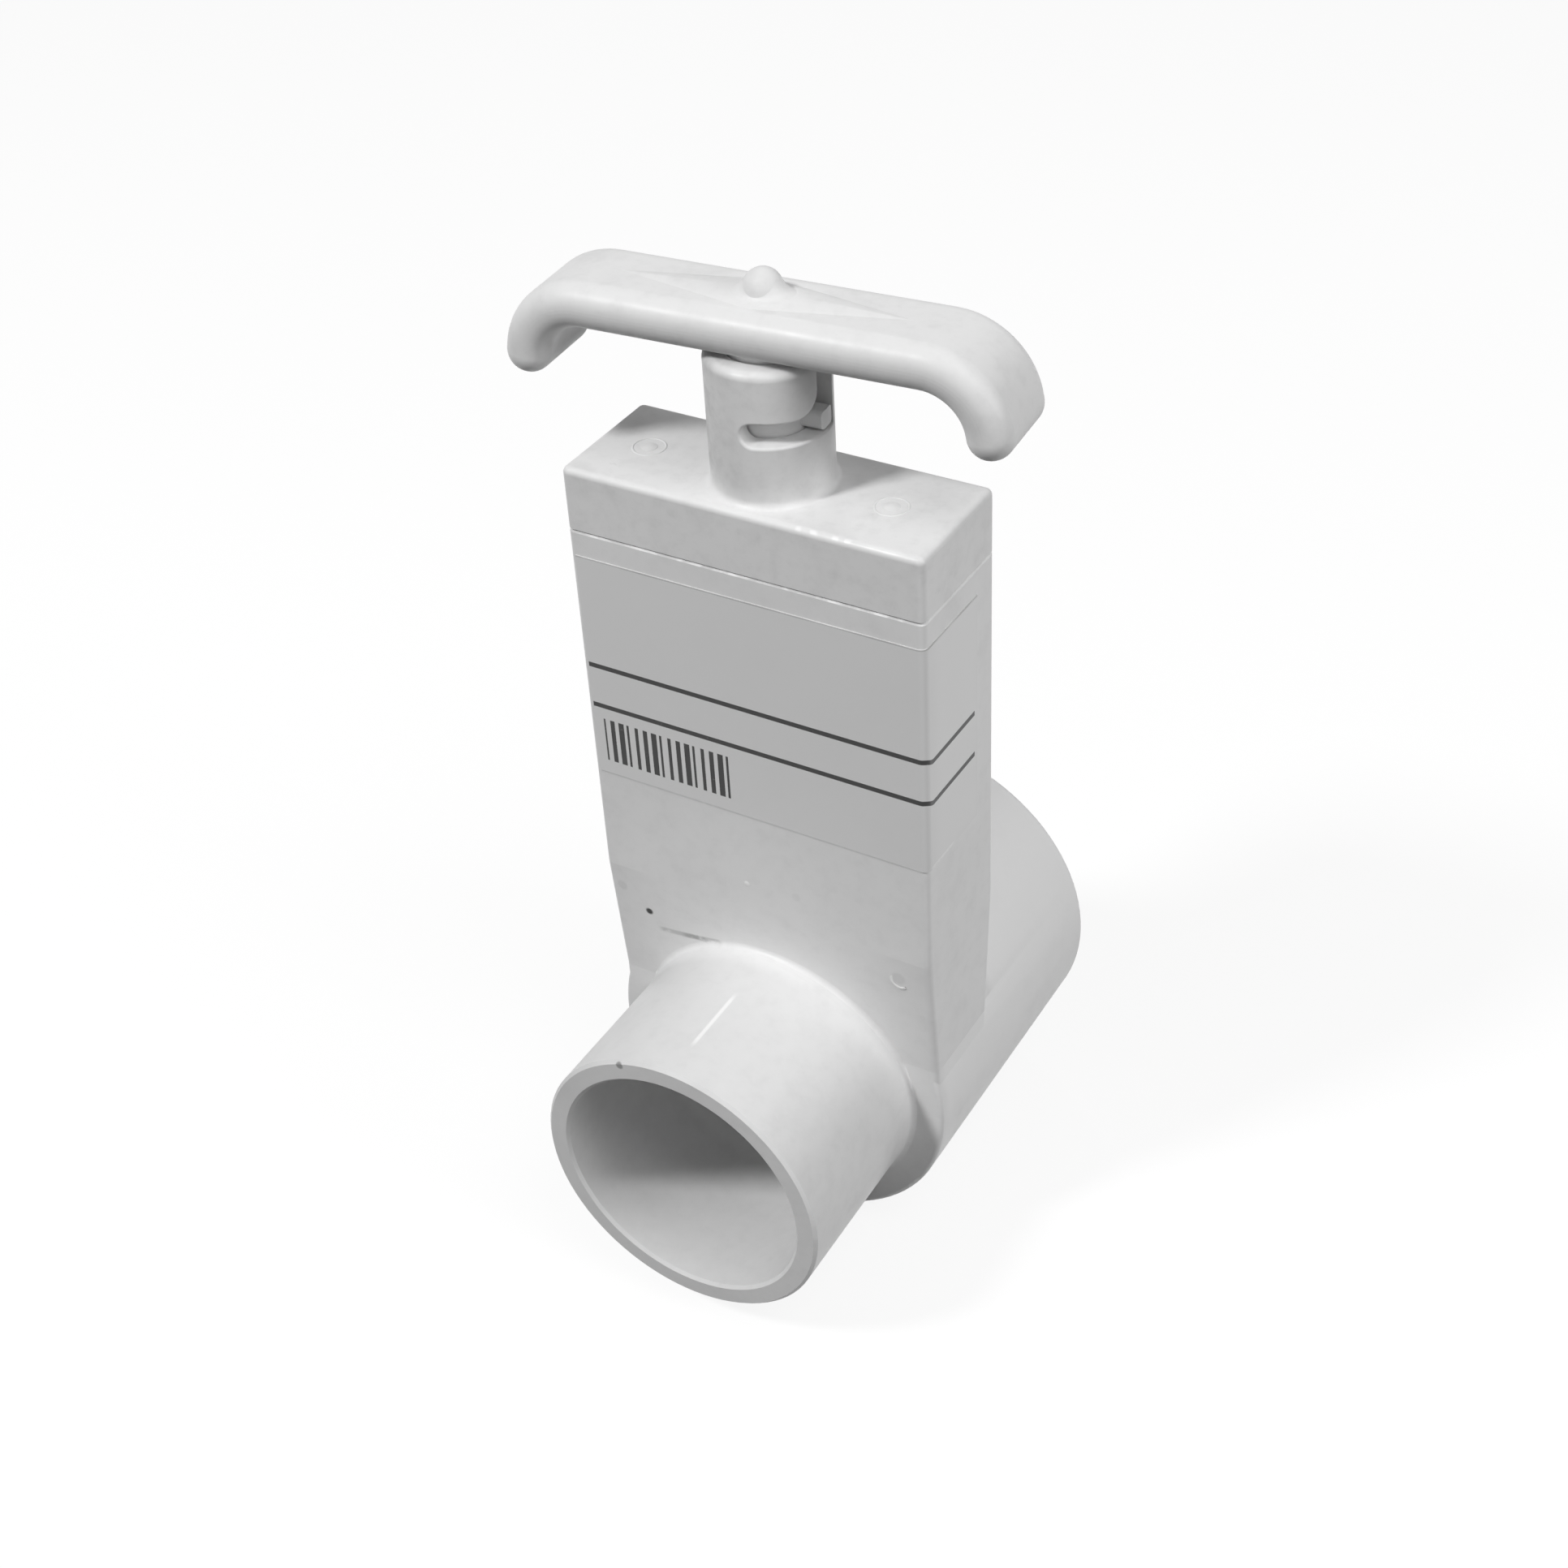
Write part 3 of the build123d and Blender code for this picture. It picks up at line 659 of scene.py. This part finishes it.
class SLIDEVALVE_OT_soft_roots(bpy.types.Operator):
    """Adds the soft hollow roots where the collar leaves the cap and the plug's dome leaves the bar"""

    bl_idname = "slidevalve.soft_roots"
    bl_label = "Soft roots"

    def execute(self, context):
        settings = context.scene.slide_valve_roots
        reach, rise = settings.collar_root, 1.3 * settings.collar_root
        turns = [math.radians(9 * count) for count in range(11)]
        hollow = [(collar_r + reach * (1 - math.sin(a)), cap_top + rise * (1 - math.cos(a))) for a in turns]
        inside, below = collar_r - 0.4 * MM, cap_top - 0.3 * MM    # sunk in the collar and in the cap
        ring = spun_ring([*hollow, (inside, hollow[-1][1]), (inside, below), (hollow[0][0], below)])
        settle(ring, "collar_root", (0, 0, 0), (0, 0, 0), "cap_plastic")

        hollow_r = settings.plug_root
        foot_z = crown_z - 0.2 * MM
        middle_z = foot_z + hollow_r
        middle_r = math.sqrt((dome_r + hollow_r) ** 2 - (middle_z - dome_z) ** 2)
        last = math.acos((middle_z - dome_z) / (dome_r + hollow_r))
        turns = [last * (1 - count / 10) for count in range(11)]
        hollow = [(middle_r - hollow_r * math.sin(a), middle_z - hollow_r * math.cos(a)) for a in turns]
        outside, inside, below = middle_r + 1.2 * MM, 0.7 * dome_r, foot_z - 0.8 * MM
        # Past the hollow the foot slopes down into the bar
        skirt = [(middle_r + 0.5 * MM, foot_z - 0.15 * MM), (outside, foot_z - 0.45 * MM)]
        foot = spun_ring([*hollow, *skirt, (outside, below), (inside, below), (inside, dome_z)])
        top_z = hollow[0][1]
        for point in foot.data.vertices:    # the bar is narrower than long, so the foot is oval
            share = min(max((top_z - point.co.z) / (top_z - foot_z), 0), 1)
            point.co.y *= 1 - 0.4 * share
        settle(foot, "plug_root", (0, 0, handle_turn), (0, 0, 0), "plug_plastic", "stem_and_handle")
        return {"FINISHED"}


class SLIDEVALVE_OT_marks(bpy.types.Operator):
    """Adds the faint raised marks that the mould leaves on the cap and the body"""

    bl_idname = "slidevalve.marks"
    bl_label = "Marks of the mould"

    def execute(self, context):
        height = context.scene.slide_valve_plastic.mark_height
        facing_front = (math.pi / 2, 0, 0)
        for side, x, y in (("left", -20.3, -0.3), ("right", 18.5, -0.1)):
            spot = (x * MM, y * MM, cap_top)
            ring = raised_ring(radius=2.4 * MM, width=0.35 * MM, height=height)
            settle(ring, f"cap_pin_mark_{side}", (0, 0, 0), spot, "cap_plastic")
            dot = pimple(radius=1.2 * MM, height=2 * height)
            settle(dot, f"cap_pin_centre_{side}", (0, 0, 0), spot, "cap_plastic")
        mark = raised_ring(radius=1.4 * MM, width=0.5 * MM, height=0.7 * height, gap=True)
        mark_x, mark_z = 23.4 * MM, 28.5 * MM
        settle(mark, "body_gate_mark", facing_front, (mark_x, self.front(mark_z), mark_z), "body_plastic")
        bump = pimple(radius=0.55 * MM, height=height)
        settle(bump, "body_pimple", facing_front, bump_spot, "body_plastic")
        return {"FINISHED"}

    def front(self, z):
        """The y of the body's front at the height z."""
        return front_y + taper * min(max((shoulder_z - z) / (shoulder_z - saddle_z), 0), 1)


# Studio


def lamp(name, toward, size, power):
    """A round lamp in the direction given from the aim, which it faces."""
    way = Vector(toward).normalized()
    turn = way.to_track_quat("Z", "Y").to_euler()
    bpy.ops.object.light_add(type="AREA", location=aim + way * lamp_distance, rotation=turn)
    made = bpy.context.object
    made.name = name
    made.data.shape = "DISK"
    made.data.size = size
    made.data.energy = power


class SLIDEVALVE_OT_studio(bpy.types.Operator):
    """Sets up the floor, lamps, room light and camera"""

    bl_idname = "slidevalve.studio"
    bl_label = "Studio"

    def execute(self, context):
        settings = context.scene.slide_valve_studio
        bpy.ops.mesh.primitive_plane_add(size=8, location=(0, 0, cad_box[0].z))
        floor = context.object
        floor.name = "studio_floor"
        paper, made = new_finish("floor_paper", tuple(settings.floor_colour))
        seen = self.seen(made)
        tooth = made.noise(3 * MM, 3.0)
        pale = made.blend(tooth, (0.88, 0.88, 0.88), (0.92, 0.92, 0.92))
        colour = made.blend(seen, tuple(settings.floor_colour), pale)
        lit = made.node("ShaderNodeBsdfDiffuse", None, {"Color": colour})
        glow = made.node("ShaderNodeEmission", None, {"Color": (1, 1, 1, 1), "Strength": 1.06})
        # In the picture the floor is nearly white and keeps only a little of the valve's shadow
        surface = made.node("ShaderNodeMixShader", None, {0: seen * 0.82, 1: lit, 2: glow})
        made.node("ShaderNodeOutputMaterial", None, {"Surface": surface})
        floor.data.materials.append(paper)

        lamp("key_lamp", toward=(-0.364, -0.561, 0.743), size=0.20, power=settings.key_power)
        lamp("side_lamp", toward=(0.93, 0.0, 0.375), size=0.60, power=settings.side_power)
        lamp("upper_lamp", toward=(0.52, -0.24, 0.82), size=0.60, power=settings.upper_power)
        lamp("rim_lamp", toward=(-0.43, 0.60, 0.67), size=0.07, power=settings.rim_power)

        world = bpy.data.worlds.new("pale_room")
        world.use_nodes = True
        context.scene.world = world
        made = Shading(world.node_tree)
        white = (1, 1, 1, 1)
        room = made.node("ShaderNodeBackground", None, {"Color": white, "Strength": settings.room_light})
        backdrop = made.node("ShaderNodeBackground", None, {"Color": white, "Strength": 1.0})
        surface = made.node("ShaderNodeMixShader", None, {0: self.seen(made), 1: room, 2: backdrop})
        made.node("ShaderNodeOutputWorld", None, {"Surface": surface})

        turn = Matrix.Rotation(math.radians(camera_turn), 3, "Z")
        turn = turn @ Matrix.Rotation(math.radians(90 - camera_height), 3, "X")
        turn = turn @ Matrix.Rotation(math.radians(camera_roll), 3, "Z")
        bpy.ops.object.camera_add(location=camera_place, rotation=turn.to_euler())
        camera = context.object
        camera.name = "photo_camera"
        camera.data.lens = settings.lens
        camera.data.sensor_width = 36
        camera.data.clip_start = 0.01
        context.scene.camera = camera
        context.scene.view_settings.view_transform = "Standard"
        return {"FINISHED"}

    def seen(self, made):
        """1 for rays from the camera, in reflections and through clear pieces."""
        rays = [made.node("ShaderNodeLightPath", output=name)
                for name in ("Is Camera Ray", "Is Glossy Ray", "Is Transmission Ray")]
        return rays[0].highest(rays[1]).highest(rays[2])


class SLIDEVALVE_PT_panel(bpy.types.Panel):
    """Lists the valve's operators and settings in the sidebar"""

    bl_idname = "SLIDEVALVE_PT_panel"
    bl_label = "Slide valve"
    bl_space_type = "VIEW_3D"
    bl_region_type = "UI"
    bl_category = "Slide valve"

    def draw(self, context):
        scene = context.scene
        for group, names in SHOWN.items():
            box = self.layout.box()
            settings = getattr(scene, group)
            for name in settings.__annotations__:
                box.prop(settings, name)
            for name in names:
                box.operator(name)


SHOWN = {
    "slide_valve_plastic": ["slidevalve.plastic", "slidevalve.marks", "slidevalve.rubber_and_steel"],
    "slide_valve_roots": ["slidevalve.soft_roots"],
    "slide_valve_label": ["slidevalve.label"],
    "slide_valve_studio": ["slidevalve.studio"],
}
GROUPS = {
    "slide_valve_plastic": PlasticSettings,
    "slide_valve_roots": RootSettings,
    "slide_valve_label": LabelSettings,
    "slide_valve_studio": StudioSettings,
}
CLASSES = [
    *GROUPS.values(), SLIDEVALVE_OT_plastic, SLIDEVALVE_OT_rubber_and_steel, SLIDEVALVE_OT_label,
    SLIDEVALVE_OT_soft_roots, SLIDEVALVE_OT_marks, SLIDEVALVE_OT_studio, SLIDEVALVE_PT_panel,
]


def register():
    for kind in CLASSES:
        bpy.utils.register_class(kind)
    for name, group in GROUPS.items():
        setattr(bpy.types.Scene, name, PointerProperty(type=group))


def unregister():
    for name in GROUPS:
        delattr(bpy.types.Scene, name)
    for kind in reversed(CLASSES):
        bpy.utils.unregister_class(kind)


def main():
    register()
    bpy.ops.slidevalve.plastic()
    bpy.ops.slidevalve.rubber_and_steel()
    bpy.ops.slidevalve.label()
    bpy.ops.slidevalve.soft_roots()
    bpy.ops.slidevalve.marks()
    bpy.ops.slidevalve.studio()


if __name__ == "__main__":
    main()
